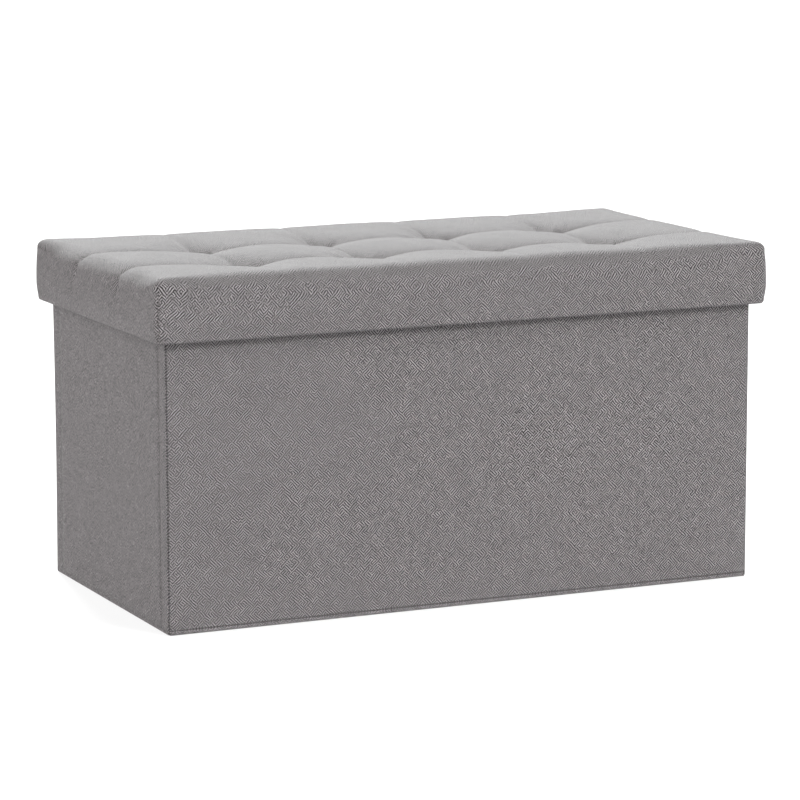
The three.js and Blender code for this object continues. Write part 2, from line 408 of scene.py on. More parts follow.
def fibreboard(name, tint):
    """Medium fibreboard: fine pressed fibres with darker flecks."""
    s = Shader(name)
    place = s.place()
    fibres = s.noise(place, 900.0, 4.0, 0.7)
    cloudy = s.noise(place, 30.0, 3.0, 0.6)
    flecks = s.math("GREATER_THAN", s.noise(place, 420.0, 1.0), 0.66)
    light = s.plus(s.times(fibres, 0.5), s.times(cloudy, 0.4))
    s.paint(tint, s.minus(s.plus(light, 0.55), s.times(flecks, 0.25)))
    s.rough(fibres, 0.7, 0.95)
    s.emboss(fibres, 0.35, 0.2 * MM)
    return s.material


def cellular_foam(name, tint):
    """Open-cell foam."""
    s = Shader(name)
    feeds = {"Vector": s.place(), "Scale": 620.0}
    cells = s.node("TexVoronoi", feeds, voronoi_dimensions="3D").outputs["Distance"]
    s.paint(tint, s.plus(s.times(cells, 0.5), 0.7))
    s.rough(cells, 0.98, 0.85)
    s.emboss(cells, 0.6, 0.4 * MM)
    return s.material


def spun_thread(name, tint):
    """Sewing thread: plies that wind round it, with a soft sheen."""
    s = Shader(name)
    place = s.place()
    along = s.split(place)
    slant = s.plus(along[2], s.plus(along[0], along[1]))
    plies = s.wave(slant, 0.9 * MM)
    fuzz = s.noise(place, 2600.0, 3.0)
    s.paint(tint, s.plus(s.times(plies, 0.14), s.plus(s.times(fuzz, 0.4), 0.75)))
    s.rough(fuzz, 0.6, 0.85)
    s.gloss(Sheen_Weight=0.2)
    s.emboss(plies, 0.5, 0.15 * MM)
    return s.material


def grosgrain(name, tint):
    """Ribbed ribbon."""
    s = Shader(name)
    cloth = s.cloth()
    along = s.split(cloth)
    ribs = s.wave(along[1], 1.1 * MM)
    yarns = s.wave(along[0], 0.45 * MM)
    fuzz = s.noise(cloth, 900.0, 3.0)
    light = s.plus(s.times(ribs, 0.16), s.times(yarns, 0.05))
    s.paint(tint, s.plus(s.times(fuzz, 0.3), s.plus(light, 0.82)))
    s.rough(fuzz, 0.55, 0.8)
    s.emboss(ribs, 0.6, 0.2 * MM)
    return s.material


def brushed_steel(name):
    """Galvanised staple wire."""
    s = Shader(name)
    worn = s.noise(s.place(), 800.0, 3.0)
    s.paint((0.55, 0.56, 0.58), s.plus(s.times(worn, 0.3), 0.8))
    s.rough(worn, 0.3, 0.5)
    s.gloss(Metallic=1.0)
    return s.material


def pale_floor(name):
    """White ground, so bright by itself that shadows hardly show on it."""
    s = Shader(name)
    s.paint((0.15, 0.15, 0.15), s.plus(s.times(s.noise(s.place(), 2.0), 0.02), 0.99))
    s.gloss(Roughness=0.9, Emission_Color=(1.0, 1.0, 1.0, 1.0), Emission_Strength=0.85)
    return s.material


LINEN = woven("grey_linen", (0.1405, 0.133, 0.1355), 0.9 * MM, 1.2, 0.10, 0.10, 0.5)
LINEN_NAP = woven("grey_linen_napped", (0.141, 0.134, 0.136), 0.9 * MM, 0.6, 0.22, 0.10, 0.4)
LINING = nonwoven("grey_nonwoven", (0.115, 0.115, 0.122))
BOARD = fibreboard("brown_fibreboard", (0.33, 0.22, 0.13))
FOAM = cellular_foam("cream_foam", (0.78, 0.72, 0.52))
THREAD = spun_thread("grey_thread", (0.085, 0.08, 0.082))
RIBBON = grosgrain("grey_ribbon", (0.10, 0.10, 0.107))
STEEL = brushed_steel("staple_steel")


# ---------------- the lid's padded top

TUFT_DEPTH = 21.5 * MM  # below the pads' crowns, at each stitch
TUFT_SPREAD = 29 * MM  # how far a stitch draws the cover down round it
TUFT_FLOOR = 25.5 * MM  # seams and stitches draw the cover no deeper, so that foam is left under it
SEAM_DEPTH = 16.5 * MM  # at the stitches
SEAM_SPREAD = 13 * MM  # how far a seam's slope reaches to each side
LAST_ACROSS, LAST_LEFT, LAST_RIGHT = 0.10, 0.40, 0.12  # seams' share of depth at the cover's edges
CROWN_PROUD = 1.2 * MM  # the pads' crowns stand this far proud of the solid
UNEVEN = 0.45 * MM  # slow unevenness of the padding
RIM_FALL = 0.9 * MM  # how much lower the cover is at its edges than in the middle
RIM_REACH = 62 * MM  # and how far in from them it falls
EDGE = 8.5 * MM  # width of the upper edge's outer strip
GRID_X, GRID_Y = LID_X - EDGE, LID_Y - EDGE  # half sides of the top inside that strip
CORNER_EDGE = 9 * MM  # rounding of the upper edge at the sewn corners
MIDDLE_EDGE = 24 * MM  # and along the sides' middles
RIGHT_EDGE = 14 * MM  # but fuller, so tighter, at the right end
EDGE_BLEND = 70 * MM  # how far from a corner the rounding grows
FOOT_PROUD = 1.2 * MM  # the padded sides stand this far proud of the solid at their foot
FLANK_PROUD = 3.0 * MM  # and this far above it
FLANK_LEAN = 9 * MM  # how far the sides' middles lean in towards the top
CORNER = 9 * MM  # plan rounding of the corners
TOP_CORNER = 4 * MM  # and of the top's flat part
SIDE_PULL = 0.8  # how much of a seam's depth at the edge goes on down the side
HEM_ROUND = 3.5 * MM  # the roll under the lower edge
STITCH_PITCH = 4.4 * MM  # down the sewn corners


def seam_strength(along, stops, edge, last):
    """How deep a seam is along its length: 1 at the stitches, less between them, and last at the edge."""
    inner = np.full(along.shape, 9.0)
    for low, high in zip(stops, stops[1:]):
        middle, half = (low + high) / 2, (high - low) / 2
        inner = np.where(np.abs(along - middle) <= half, np.abs(along - middle) / half, inner)
    outer = np.clip((edge - np.abs(along)) / (edge - stops[-1]), 0, 1)
    return np.where(inner < 2, 0.50 + 0.50 * inner ** 3, last + (1 - last) * outer ** 2.6)


def valley(distance, spread):
    """Cross-section of a seam: a sharp bottom, and sides that round over."""
    return np.exp(-((np.abs(distance) / spread) ** 0.85))


def tuft_relief(x, y):
    """How far the cover is drawn down at a plan position."""
    depth = np.zeros(np.broadcast(x, y).shape)
    seams = [(x - seam, seam_strength(y, SEAM_Y, LID_Y, LAST_ACROSS)) for seam in SEAM_X]
    last = np.where(x < 0, LAST_LEFT, LAST_RIGHT)
    seams += [(y - seam, seam_strength(x, SEAM_X, LID_X, last)) for seam in SEAM_Y]
    for offset, strength in seams:
        spread = SEAM_SPREAD * (0.6 + 0.9 * strength)
        depth = np.maximum(depth, SEAM_DEPTH * strength * valley(offset, spread))
    for number, stitch in enumerate(TUFT_POINTS):
        across, along = x - stitch.x, y - stitch.y
        reach, turn = np.hypot(across, along), np.arctan2(along, across)
        pull = np.exp(-((reach / TUFT_SPREAD) ** 1.05))
        pleats = 0.10 * np.cos(4 * turn) + 0.05 * np.sin(7 * turn + number)
        pleats += 0.03 * np.cos(11 * turn + 2 * number)
        local = TUFT_DEPTH * pull * (1 + pleats * ease(reach / (6 * MM)))
        depth = np.sqrt(depth ** 2 + local ** 2)
    return np.minimum(depth, TUFT_FLOOR)


def crown(x, y, inset):
    """Height of the cover's top, before its edge is rounded and its seams are drawn down."""
    fall = RIM_FALL * np.clip(1 - inset / RIM_REACH, 0, 1) ** 2
    uneven = UNEVEN * ripple(x, y, 120 * MM, 3) + 0.16 * MM * ripple(x, y, 34 * MM, 4)
    return LID_TOP + CROWN_PROUD - fall + uneven * ease(inset / (40 * MM))


def rounded(x, y, half_x, half_y, radius):
    """Where a grid point lies on a rounded rectangle of those half sides, and its outward normal."""
    u = np.clip((np.abs(x) - (GRID_X - CORNER)) / CORNER, 0, 1)
    v = np.clip((np.abs(y) - (GRID_Y - CORNER)) / CORNER, 0, 1)
    run_x = np.minimum(np.abs(x), GRID_X - CORNER) * (half_x - radius) / (GRID_X - CORNER)
    run_y = np.minimum(np.abs(y), GRID_Y - CORNER) * (half_y - radius) / (GRID_Y - CORNER)
    to_x, to_y = u * np.sqrt(1 - v * v / 2), v * np.sqrt(1 - u * u / 2)
    size = np.maximum(np.hypot(to_x, to_y), 1e-9)
    place = points(np.sign(x) * (run_x + radius * to_x), np.sign(y) * (run_y + radius * to_y))
    return place, points(np.sign(x) * to_x / size, np.sign(y) * to_y / size)


def to_corner(x, y):
    """How far a grid point on or near a side is from the nearest corner."""
    return np.maximum(GRID_X - np.abs(x), GRID_Y - np.abs(y))


def edge_radius(x, y):
    """Rounding of the upper edge: tight at the sewn corners, and softer between them."""
    middle = MIDDLE_EDGE + (RIGHT_EDGE - MIDDLE_EDGE) * ease((x - LID_X + 120 * MM) / (90 * MM))
    return CORNER_EDGE + (middle - CORNER_EDGE) * ease(to_corner(x, y) / EDGE_BLEND)


def edge_drop(inset, radius):
    """How far the rounded edge lies below the top, at a distance in from the outer face."""
    return radius - np.sqrt(np.maximum(radius ** 2 - np.maximum(radius - inset, 0) ** 2, 0))


def flank_profile(radius, foot):
    """The side, from the top's rounded edge down: rows of (inset from the outer face, height, part)."""
    rows = []
    start = np.arcsin(1 - EDGE / radius)
    for share in np.linspace(0, 1, 13)[1:]:
        turn = start + share * (math.pi / 2 - start)
        rows.append((radius * (1 - np.sin(turn)), radius * (1 - np.cos(turn)), "edge"))
    shoulder = LID_TOP - RIM_FALL - radius
    steps = max(3, round((LID_TOP - EDGE - foot) / (2.6 * MM)))
    for share in np.linspace(0, 1, steps)[1:]:
        rows.append((0 * radius, shoulder + share * (foot - shoulder), "flank"))
    return rows


def foot_profile():
    """The roll under the cover's lower edge."""
    foot = LID_FOOT + HEM_ROUND
    return [(HEM_ROUND * (1 - math.cos(turn)), foot - HEM_ROUND * math.sin(turn), "foot")
            for turn in np.linspace(0, math.pi / 2, 7)[1:]]


def flank_bulge(height, x=LID_X, y=LID_Y):
    """How far the padded side stands out at a height. It leans in towards the top, less at the corners."""
    share = np.clip((height - LID_FOOT) / (LID_TOP - LID_FOOT), 0, 1)
    middle = 0.25 + 0.75 * ease(to_corner(x, y) / EDGE_BLEND)
    lean = FLANK_LEAN * middle * np.clip((share - 0.35) / 0.65, 0, 1) ** 2
    return FOOT_PROUD + (FLANK_PROUD - FOOT_PROUD) * ease(share / 0.3) - lean


def corner_groove(offset, height):
    """The cover's sewn corner: a groove with a pucker for each stitch, and a tuck at its upper end."""
    stitches = 0.88 + 0.12 * np.sin(height * math.tau / STITCH_PITCH)
    groove = 1.7 * MM * stitches * bell(offset / (0.8 * MM))
    tuck = 1.6 * MM * bell(offset / (3.0 * MM)) * bell((height - LID_TOP + 13 * MM) / (4 * MM))
    return (groove + tuck) * ease((LID_TOP - 5 * MM - height) / (6 * MM))


def padded_top(xs, ys, inner):
    """The tufted top as a grid, at a depth under the cover's surface."""
    x, y = np.meshgrid(xs, ys, indexing="ij")
    place, _ = rounded(x, y, GRID_X - inner, GRID_Y - inner, TOP_CORNER)
    inset = np.minimum(LID_X - inner - np.abs(place[..., 0]), LID_Y - inner - np.abs(place[..., 1]))
    height = crown(place[..., 0], place[..., 1], inset) - edge_drop(inset, edge_radius(x, y)) - inner
    height -= tuft_relief(place[..., 0], place[..., 1])
    return np.dstack([place, height]), place.copy()


def padded_flank(side_x, side_y, axis, sign, inner, foot, roll, hem):
    """One side of the tufted form as a grid: the top's edge, the flank, and the rows of roll and hem."""
    rim, _ = rounded(side_x, side_y, GRID_X - inner, GRID_Y - inner, TOP_CORNER)
    pull = tuft_relief(rim[:, 0], rim[:, 1])
    edge = edge_radius(side_x, side_y)
    top = crown(rim[:, 0], rim[:, 1], EDGE) - edge_drop(EDGE, edge) - pull - inner
    rows, route = [np.column_stack([rim, top])], [(EDGE, LID_TOP - RIM_FALL - edge_drop(EDGE, edge))]
    for inset, level, part in flank_profile(edge, foot) + roll:
        if part == "edge":
            z = crown(rim[:, 0], rim[:, 1], inset) - level - pull * inset / EDGE - inner
            level = LID_TOP - RIM_FALL - level
            stand = flank_bulge(LID_TOP - RIM_FALL - edge, side_x, side_y) * (1 - inset / EDGE)
            pulled = pull * SIDE_PULL * (1 - inset / EDGE)
            radius = TOP_CORNER + (CORNER - TOP_CORNER) * (1 - inset / EDGE)
        else:
            z = np.full(rim.shape[0], level)
            stand = flank_bulge(level, side_x, side_y)
            pulled = pull * SIDE_PULL * ease((level - LID_FOOT - 14 * MM) / (LID_TOP - LID_FOOT - 26 * MM))
            radius = (CORNER - inset) * np.ones(rim.shape[0])
        half = np.array([LID_X, LID_Y]) + (stand - inset - inner)[:, None]
        spot, normal = rounded(side_x, side_y, *half.T, radius)
        # the distance round the corner from its seam, and far off where the side is straight
        square = np.abs(spot) - (half - radius[:, None])
        from_seam = (np.arctan2(square[:, 1], square[:, 0]) - math.pi / 4) * radius
        from_seam = np.where((square > 0).all(1), from_seam, 1.0)
        uneven = UNEVEN * ripple(spot[:, axis ^ 1], z, 90 * MM, 11 + axis)
        uneven *= ease((z - LID_FOOT - 6 * MM) / (20 * MM)) * ease(to_corner(side_x, side_y) / (20 * MM))
        away = uneven - pulled - corner_groove(from_seam, z)
        rows.append(np.column_stack([spot + normal * away[:, None], z]))
        route.append((inset, level))
    for inset, level in hem:
        spot, _ = rounded(side_x, side_y, LID_X - inset, LID_Y - inset, 2 * MM)
        rows.append(np.column_stack([spot, np.full(rim.shape[0], level)]))
        route.append((inset, level))
    # the weave goes on from the top down the sides, and is measured round the lid
    run = distances([np.broadcast_arrays(*place, edge)[:2] for place in route])
    spot, _ = rounded(side_x, side_y, LID_X, LID_Y, CORNER)
    girth = distances(spot)
    girth -= girth[-1] / 2
    below = np.clip(run / (1.2 * EDGE), 0, 1)
    cloth = np.empty((*run.shape, 2))
    cloth[..., axis] = sign * ((GRID_X, GRID_Y)[axis] + run)
    cloth[..., axis ^ 1] = rim[:, axis ^ 1] * (1 - below) + girth * below
    return np.stack(rows), cloth


def padded_form(xs, ys, inner, foot, roll=(), hem=()):
    """The tufted top and its four flanks."""
    sides = (
        (xs, np.full(xs.shape, -GRID_Y), 1, -1),
        (np.full(ys.shape, GRID_X), ys, 0, 1),
        (xs, np.full(xs.shape, GRID_Y), 1, 1),
        (np.full(ys.shape, -GRID_X), ys, 0, -1),
    )
    top = padded_top(xs, ys, inner)
    borders = (top[0][:, 0], top[0][-1], top[0][:, -1], top[0][0])
    flanks = [padded_flank(*side, inner, foot, list(roll), hem) for side in sides]
    for flank, border in zip(flanks, borders):
        flank[0][0] = border
    return [top, *flanks]


def lid_stops(step, fine_step):
    """Stops in x and in y for a grid over the lid, closer together at the seams and the edges."""
    return [spaced(-half, half, step, [*seams, -half, half], fine_step)
            for half, seams in ((GRID_X, SEAM_X), (GRID_Y, SEAM_Y))]


def lid_cover():
    """The tufted cover: top, sides, the roll under its edge and the hem inside the skirt."""
    xs, ys = lid_stops(4 * MM, 1.4 * MM)
    inside = LID_X - RAIL_INNER_X + 0.15 * MM
    under = HEM_ROUND - flank_bulge(LID_FOOT)
    turns = ((under, 0), ((under + inside) / 2, 0.1), (inside, 0.6), (inside, 6), (inside, 12))
    hem = [(inset, LID_FOOT + up * MM) for inset, up in turns]
    grids = padded_form(xs, ys, 0.0, LID_FOOT + HEM_ROUND, foot_profile(), hem)
    cover = join_grids("lid_cover_fabric", grids, inside=(0, 0, LID_FOOT))
    finish_piece(cover, LINEN, "lid", ["lid_cover"])
    cover.data.materials.append(LINEN_NAP)
    for face in cover.data.polygons:
        face.material_index = int(face.normal.z > 0.5)


def lid_foam():
    """The foam pad inside the cover, drawn down at the same stitches."""
    depth, base = 2.6 * MM, FOAM_BASE
    xs, ys = lid_stops(9 * MM, 3 * MM)
    grids = padded_form(xs, ys, depth, base)
    top = grids[0][0]
    top[..., 2] = np.maximum(top[..., 2], base + 0.7 * MM)
    x, y = np.meshgrid(xs, ys, indexing="ij")
    stand = flank_bulge(base, x, y) - depth
    place, _ = rounded(x, y, LID_X + stand, LID_Y + stand, CORNER)
    for side, _ in grids[1:]:
        side[..., 2] = np.maximum(np.minimum.accumulate(side[..., 2], axis=0), base)
        side[-1, :, 2] = base
    bottom = np.dstack([place, np.full(x.shape, base)])
    bottom[:, 0], bottom[-1], bottom[:, -1], bottom[0] = [side[-1] for side, _ in grids[1:]]
    grids.append((bottom, place.copy()))
    foam = join_grids("lid_foam_pad", grids, inside=(0, 0, base + 5 * MM))
    finish_piece(foam, FOAM, "lid", ["lid_foam"])


def top_height(x, y):
    """Height of the cover's surface at a plan position away from its edges."""
    x, y = np.array([x]), np.array([y])
    return float((crown(x, y, np.full(1, RIM_REACH)) - tuft_relief(x, y))[0])


def tuft_stitches():
    """At each tuft a two-ply thread through the foam, and a short bar of thread on the cover."""
    for name, stitch in zip(THREADS, TUFT_POINTS):
        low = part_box(name)[0].z
        high = top_height(stitch.x, stitch.y)
        turns = np.linspace(0, 1, 60)
        lines = []
        for ply in (0, math.pi):
            turn = turns * math.tau * 4 + ply
            x, y = stitch.x + 0.45 * MM * np.cos(turn), stitch.y + 0.45 * MM * np.sin(turn)
            lines.append(points(x, y, low + (high - low) * turns))
        share = np.linspace(-1, 1, 13)
        bar = high + 0.5 * MM - 1.6 * MM * np.abs(share) ** 3
        lines.append(points(stitch.x + 2.4 * MM * share, stitch.y, bar))
        piece = threads(name.replace("thread", "stitch"), lines, 0.5 * MM, 8)
        finish_piece(piece, THREAD, "lid", [name])


def corner_stitches():
    """The line of stitches down each sewn corner of the lid's cover."""
    lines = []
    share = np.linspace(-1, 1, 7)
    reach = (CORNER - 1.3 * MM) / math.sqrt(2) - CORNER + (0.1 - 0.5 * share ** 4) * MM
    for side_x, side_y in ((-1, -1), (-1, 1), (1, -1), (1, 1)):
        for level in np.arange(LID_FOOT + 6 * MM, LID_TOP - 16 * MM, STITCH_PITCH):
            out = reach + float(flank_bulge(level))
            lines.append(points(side_x * (LID_X + out), side_y * (LID_Y + out), level + 1.35 * MM * share))
    sew("lid_corner_stitches", lines, 0.3 * MM, "lid")


def lid_rails():
    """The front and rear boards of the skirt, with their outer corners rounded off under the cover."""
    for name, sign in (("lid_front_rail", -1), ("lid_rear_rail", 1)):
        low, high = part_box(name)
        outer, inner = (high.y, low.y) if sign > 0 else (-low.y, -high.y)
        radius, turn = 6 * MM, np.linspace(0, math.pi / 2, 7)
        right = points(high.x - radius + radius * np.sin(turn), outer - radius + radius * np.cos(turn))
        outline = np.concatenate([right, [[high.x, inner], [low.x, inner]], (right * (-1, 1))[::-1]])
        form = bmesh.new()
        base = form.faces.new([form.verts.new((x, sign * y, low.z)) for x, y in outline])
        top = bmesh.ops.extrude_face_region(form, geom=[base])
        raised = [v for v in top["geom"] if isinstance(v, bmesh.types.BMVert)]
        bmesh.ops.translate(form, verts=raised, vec=(0, 0, high.z - low.z))
        bmesh.ops.recalc_face_normals(form, faces=form.faces)
        sharp = [edge for edge in form.edges if edge.calc_face_angle(0) > 1]
        bmesh.ops.bevel(form, geom=sharp, offset=0.5 * MM, segments=2, affect="EDGES")
        finish_piece(form_piece(name + "_board", form), BOARD, "lid", [name])


def lid_lining():
    """The lining under the lid: across the underside, down the rails and turned up at its hem."""
    half_x, half_y = RAIL_INNER_X - 0.4 * MM, RAIL_INNER_Y - 0.4 * MM
    ceiling, foot = RAIL_TOP - 0.35 * MM, LID_LINING_FOOT + 0.4 * MM
    xs, ys = np.linspace(-half_x, half_x, 48), np.linspace(-half_y, half_y, 26)
    x, y = np.meshgrid(xs, ys, indexing="ij")
    grids = [(points(x, y, ceiling), points(x, y))]
    hem = foot + np.array([0.2, 0, 0.5, 5]) * MM
    levels = np.concatenate([np.linspace(ceiling, foot + 1 * MM, 9), hem])
    into = np.concatenate([np.zeros(9), [0.05, 0.35, 0.75, 0.8]]) * MM
    run = ceiling - levels
    growing = ease(run / (30 * MM))[:, None]
    for axis, half, other in ((1, half_y, xs), (0, half_x, ys)):
        for sign in (-1, 1):
            wave = 0.5 * MM * ripple(other, 0 * other, 60 * MM, 21 + axis) * growing
            side, along = sign * (half - into[:, None]), other * (1 - into[:, None] / half)
            down = sign * (half + run)[:, None]
            grids.append((beside(axis, side, along, levels[:, None] + wave), beside(axis, down, other)))
    lining = join_grids("lid_underside_lining", grids, inside=(0, 0, foot), facing=-1)
    thicken(lining, 0.3 * MM)
    finish_piece(lining, LINING, "lid", ["lid_lining"])


def lid_staples():
    """Staples along the lining's hem."""
    lines = []
    level = LID_LINING_FOOT + 9 * MM
    across = 5 * MM * np.array([-1, -1, -0.86, 0.86, 1, 1])
    out = MM * np.array([0, 0.7, 0.85, 0.85, 0.7, 0]) + 0.3 * MM
    for axis, half, reach in ((1, RAIL_INNER_Y, RAIL_INNER_X), (0, RAIL_INNER_X, RAIL_INNER_Y)):
        for sign in (-1, 1):
            for along in np.linspace(-reach + 40 * MM, reach - 40 * MM, round(2 * reach / (62 * MM))):
                lines.append(beside(axis, sign * (half - out), along + across, level + 0.12 * across))
    finish_piece(threads("lid_staples", lines, 0.3 * MM), STEEL, "lid")


lid_cover()
lid_foam()
tuft_stitches()
corner_stitches()
lid_rails()
lid_lining()
lid_staples()

# ---------------- the box's walls

ROUND = 3.2 * MM  # outer corners
STRIP = 20 * MM  # how far a corner's strip of fabric reaches along the end
RIM = WALL_TOP + 0.12 * MM  # fabric over the walls' top edge
FACING = 14 * MM  # how far the fabric turns down inside
LINING_INSET = WALL - 0.28 * MM
FRONT_FOOT = BAND_TOP + 0.5 * MM
CLOTH_FOOT = END_FOOT + 0.2 * MM
END_BOW = 1.0 * MM  # how far the left end bellies in, towards the rear
BOW_START, BOW_GROWTH = 260 * MM, 100 * MM  # left of the middle, where that begins, and over what length
STEP = 11 * MM  # between the rows of points along a wall
FLAT_X, FLAT_Y = WALL_X - ROUND, WALL_Y - ROUND
ALONG_X = np.linspace(-FLAT_X, FLAT_X, round(2 * FLAT_X / STEP) + 1)


def arc(side_x, side_y, start, end, count=8):
    """Places and outward normals round one outer corner, from and to these angles in degrees."""
    turn = np.radians(np.linspace(start, end, count))
    normal = points(np.cos(turn), np.sin(turn))
    return np.array([side_x * FLAT_X, side_y * FLAT_Y]) + ROUND * normal, normal


def straight(axis, side, stops):
    """Places and outward normals along a face of the box: along x for axis 0, along y for axis 1."""
    place, normal = np.empty((len(stops), 2)), np.zeros((len(stops), 2))
    place[:, axis] = stops
    place[:, axis ^ 1] = side * (WALL_Y, WALL_X)[axis]
    normal[:, axis ^ 1] = side
    return place, normal


class Path:
    """A line round the box in plan: outer and inner places, normals, and distance along the cloth."""

    def __init__(self, *parts, start=0.0, direction=1):
        place, normal = np.concatenate([p for p, _ in parts]), np.concatenate([n for _, n in parts])
        keep = np.concatenate([[True], np.linalg.norm(np.diff(place, axis=0), axis=1) > WELD])
        self.outer, self.normal = place[keep], normal[keep]
        self.inner = np.clip(self.outer, (-INNER_X, -INNER_Y), (INNER_X, INNER_Y))
        gone = distances(self.outer)
        self.along = start + direction * gone
        self.end = self.along[-1]
        self.length = gone[-1]
        # the groove at a sewn corner, and the cloth's freedom to ripple, which ends at the path's ends
        seam = np.array([WALL_X, WALL_Y]) - ROUND * (1 - math.sqrt(0.5))
        self.groove = 1.8 * MM * bell(np.linalg.norm(np.abs(self.outer) - seam, axis=1) / (0.85 * MM))
        self.calm = ease((np.minimum(gone, gone[-1] - gone) - 4 * MM) / (26 * MM))


def swept(path, profile, seed=0):
    """A sheet swept along a path. profile has rows of (inset, height, share of the cloth's unevenness)."""
    inset, height, free = (np.array(column) for column in zip(*profile))
    share = (inset / WALL)[:, None, None]
    place = path.outer[None] + (path.inner - path.outer)[None] * share
    s, z = np.broadcast_arrays(path.along[None], height[:, None])
    uneven = 0.32 * MM * ripple(s, z, 190 * MM, 31 + seed) + 0.13 * MM * ripple(s, z, 60 * MM, 37 + seed)
    away = uneven * path.calm * free[:, None] - path.groove * (1 - np.clip(share[..., 0], 0, 1))
    place = place + path.normal[None] * away[..., None]
    grown = ease((-place[..., 0] - BOW_START) / BOW_GROWTH)
    bow = END_BOW * np.sin(np.pi * np.clip(z / WALL_TOP, 0, 1)) * grown
    outside = (inset < LINING_INSET - WALL / 2)[:, None]
    place[..., 0] += bow * ease((place[..., 1] + WALL_Y) / (2 * WALL_Y)) * outside
    down = distances(points(inset, height))
    return np.dstack([place, z]), points(s, (height[0] + down)[:, None])


def face_profile(foot, tucked):
    """Outer fabric from its foot, up the face, over the top edge and down inside."""
    turned = ((1.7, 0), (0.4, 0.15), (0.05, 0.6)) if tucked else ()
    rows = [(inset * MM, foot + up * MM, 0) for inset, up in turned]
    low, high, bend = foot + (1.2 * MM if tucked else 0), RIM - 1.3 * MM, 1.3 * MM
    for share in np.linspace(0, 1, 34):
        level = low + (high - low) * share
        free = ease((level - foot) / (25 * MM)) * ease((WALL_TOP - level) / (25 * MM))
        rows.append((0, level, float(free)))
    rows += [(bend * (1 - math.cos(t)), high + bend * math.sin(t), 0) for t in np.radians((25, 50, 75, 90))]
    rows += [(WALL / 2, RIM, 0), (WALL - 0.7 * MM, RIM, 0), (WALL - 0.2 * MM, RIM - 0.3 * MM, 0)]
    rows += [(WALL, RIM - 1 * MM, 0), (WALL, RIM - 0.5 * FACING, 0), (WALL, RIM - FACING, 0)]
    return rows


def hem_profile():
    """The last few millimetres of an end's fabric, down to the floor and turned under."""
    turned = ((0, 3.4), (0, 2.2), (0.05, 1.3), (0.35, 0.65), (1.0, 0.35), (WALL / MM - 0.4, 0.35))
    return [(0, CLOTH_FOOT, 0)] + [(inset * MM, level * MM, 0) for inset, level in turned]


def band_profile():
    """The sewn band along the front's foot, a little proud of the panel."""
    top = BAND_TOP / MM
    rows = [(2.4, top - 0.1), (0.8, top - 0.4), (0.1, top - 0.9), (-0.3, top - 1.6), (-0.32, 2.3)]
    rows += [(-0.2, 1.2), (0.15, 0.5), (0.8, 0.2), (WALL / MM - 0.4, 0.2)]
    return [(inset * MM, level * MM, 0) for inset, level in rows]


def lining_profile(foot):
    """Straight up the wall's inner face, to just under the fabric's hem."""
    return [(LINING_INSET, level, 0) for level in np.linspace(foot, RIM - 5 * MM, 14)]


def cloth_piece(name, path, profile, body=None, stands_for=(), seed=0, lining=False):
    """One swept sheet of outer fabric or lining."""
    piece = join_grids(name, [swept(path, profile, seed)], facing=-1 if lining else 1)
    thicken(piece, 0.25 * MM if lining else 0.5 * MM)
    look, slot = (LINING, "lining") if lining else (LINEN, "linen")
    finish_piece(piece, look, body, stands_for)
    return piece


def front_and_rear():
    """The front and rear walls' fabric, from sewn corner to sewn corner, and the front's foot band."""
    front = Path(arc(-1, -1, 225, 270), straight(0, -1, ALONG_X), arc(1, -1, 270, 315))
    cloth_piece("front_panel_fabric", front, face_profile(FRONT_FOOT, True), "front_wall",
                ["front_fabric"], 1)
    band = cloth_piece("front_foot_band", front, band_profile(), "front_wall", ["front_bottom_binding"], 1)
    girth = distances(np.array(band_profile()))[-1]
    # painted shade: two dark threads run the whole front. The upper one lies in the gap above the band, where
    # seam thread runs, and also stands in for the fold's shadow there. The lower one runs along the very foot
    # and stands in for the contact shadow under it.
    lines = []
    for inset, level in ((0.75 * MM, BAND_TOP + 0.15 * MM), (0.55 * MM, 0.4 * MM)):
        place = front.outer - front.normal * front.groove[:, None]
        place += (front.inner - front.outer) * inset / WALL
        lines.append(points(*place.T, level))
    sew("front_foot_seam_and_shadow_threads", lines, 0.34 * MM, "front_wall")
    beyond = straight(1, 1, [FLAT_Y, INNER_Y - 0.2 * MM])
    rear = Path(arc(-1, 1, 135, 90), straight(0, 1, ALONG_X), arc(1, 1, 90, 0, 15), beyond, start=2.0)
    cloth_piece("rear_panel_fabric", rear, face_profile(CLOTH_FOOT, False), "rear_wall",
                ["rear_fabric", "rear_right_corner_binding"], 2)
    hem = cloth_piece("rear_panel_hem", rear, hem_profile(), "rear_wall", seed=2)
    fold_away(hem)
    for name, side, foot in (("front", -1, FRONT_FOOT), ("rear", 1, CLOTH_FOOT)):
        inner = Path(straight(0, side, np.linspace(-INNER_X, INNER_X, 40)), start=3.0 + side)
        cloth_piece(name + "_panel_lining", inner, lining_profile(foot), name + "_wall",
                    [name + "_lining"], 3, True)


def fold_away(hem):
    """Gives a hem its own copy of its mesh."""
    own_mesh(hem)


def end_stops(start, end):
    """Stops along an end, close together where it creases."""
    return spaced(start, end, STEP, [CREASE_Y], 0.45 * MM, 4 * MM)


def end_piece(name, path, profile, stands_for=(), seed=0, lining=False):
    """A piece of an end's cloth, on no body, with its place baked into its mesh."""
    piece = cloth_piece(name, path, profile, None, stands_for, seed, lining=lining)
    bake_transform(piece)


